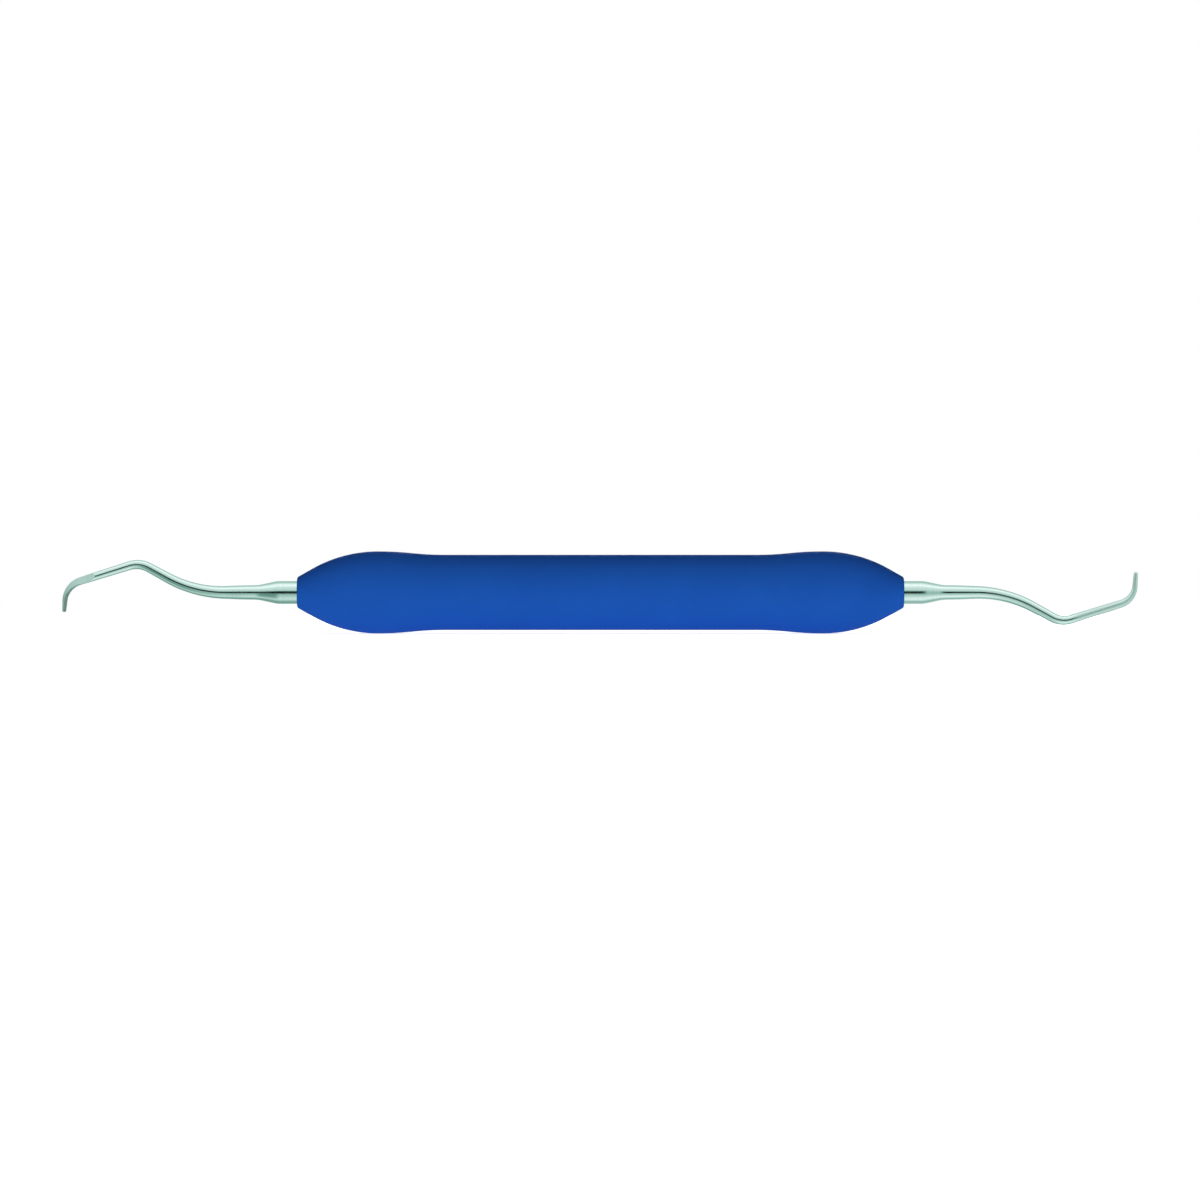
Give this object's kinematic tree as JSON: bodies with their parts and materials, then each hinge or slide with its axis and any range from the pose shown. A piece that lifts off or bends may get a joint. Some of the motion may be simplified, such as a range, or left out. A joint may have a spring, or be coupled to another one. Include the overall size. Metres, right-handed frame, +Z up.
{
  "type": "double-ended dental curette",
  "caption": "Hand instrument for cleaning teeth: soft moulded grip with a bulge near each end, and a bent steel shank with a half-round blade at both ends.",
  "frame": {"origin": "middle of the handle, on its axis", "axes": "+X along the handle towards the end whose shank bends down, +Z up, towards the side that the other end's shank bends to; the shanks and blades bend in the XZ plane"},
  "size_m": [0.1703, 0.013, 0.013],
  "materials": {
    "soft_grip": "matt moulded silicone rubber, royal blue",
    "instrument_steel": "hardened stainless steel, satin polished, with a ground blade face",
    "tube_steel": "drawn and turned stainless steel, plain",
    "seal_rubber": "black moulded sealing rubber"
  },
  "bodies": {
    "root": {"grip_sleeve": "soft_grip", "core_tube": "tube_steel", "left_ferrule": "tube_steel", "right_ferrule": "tube_steel", "left_working_end": "instrument_steel", "right_working_end": "instrument_steel", "left_lock_pin": "tube_steel", "right_lock_pin": "tube_steel", "left_seal": "seal_rubber", "right_seal": "seal_rubber"}
  },
  "joints": []
}
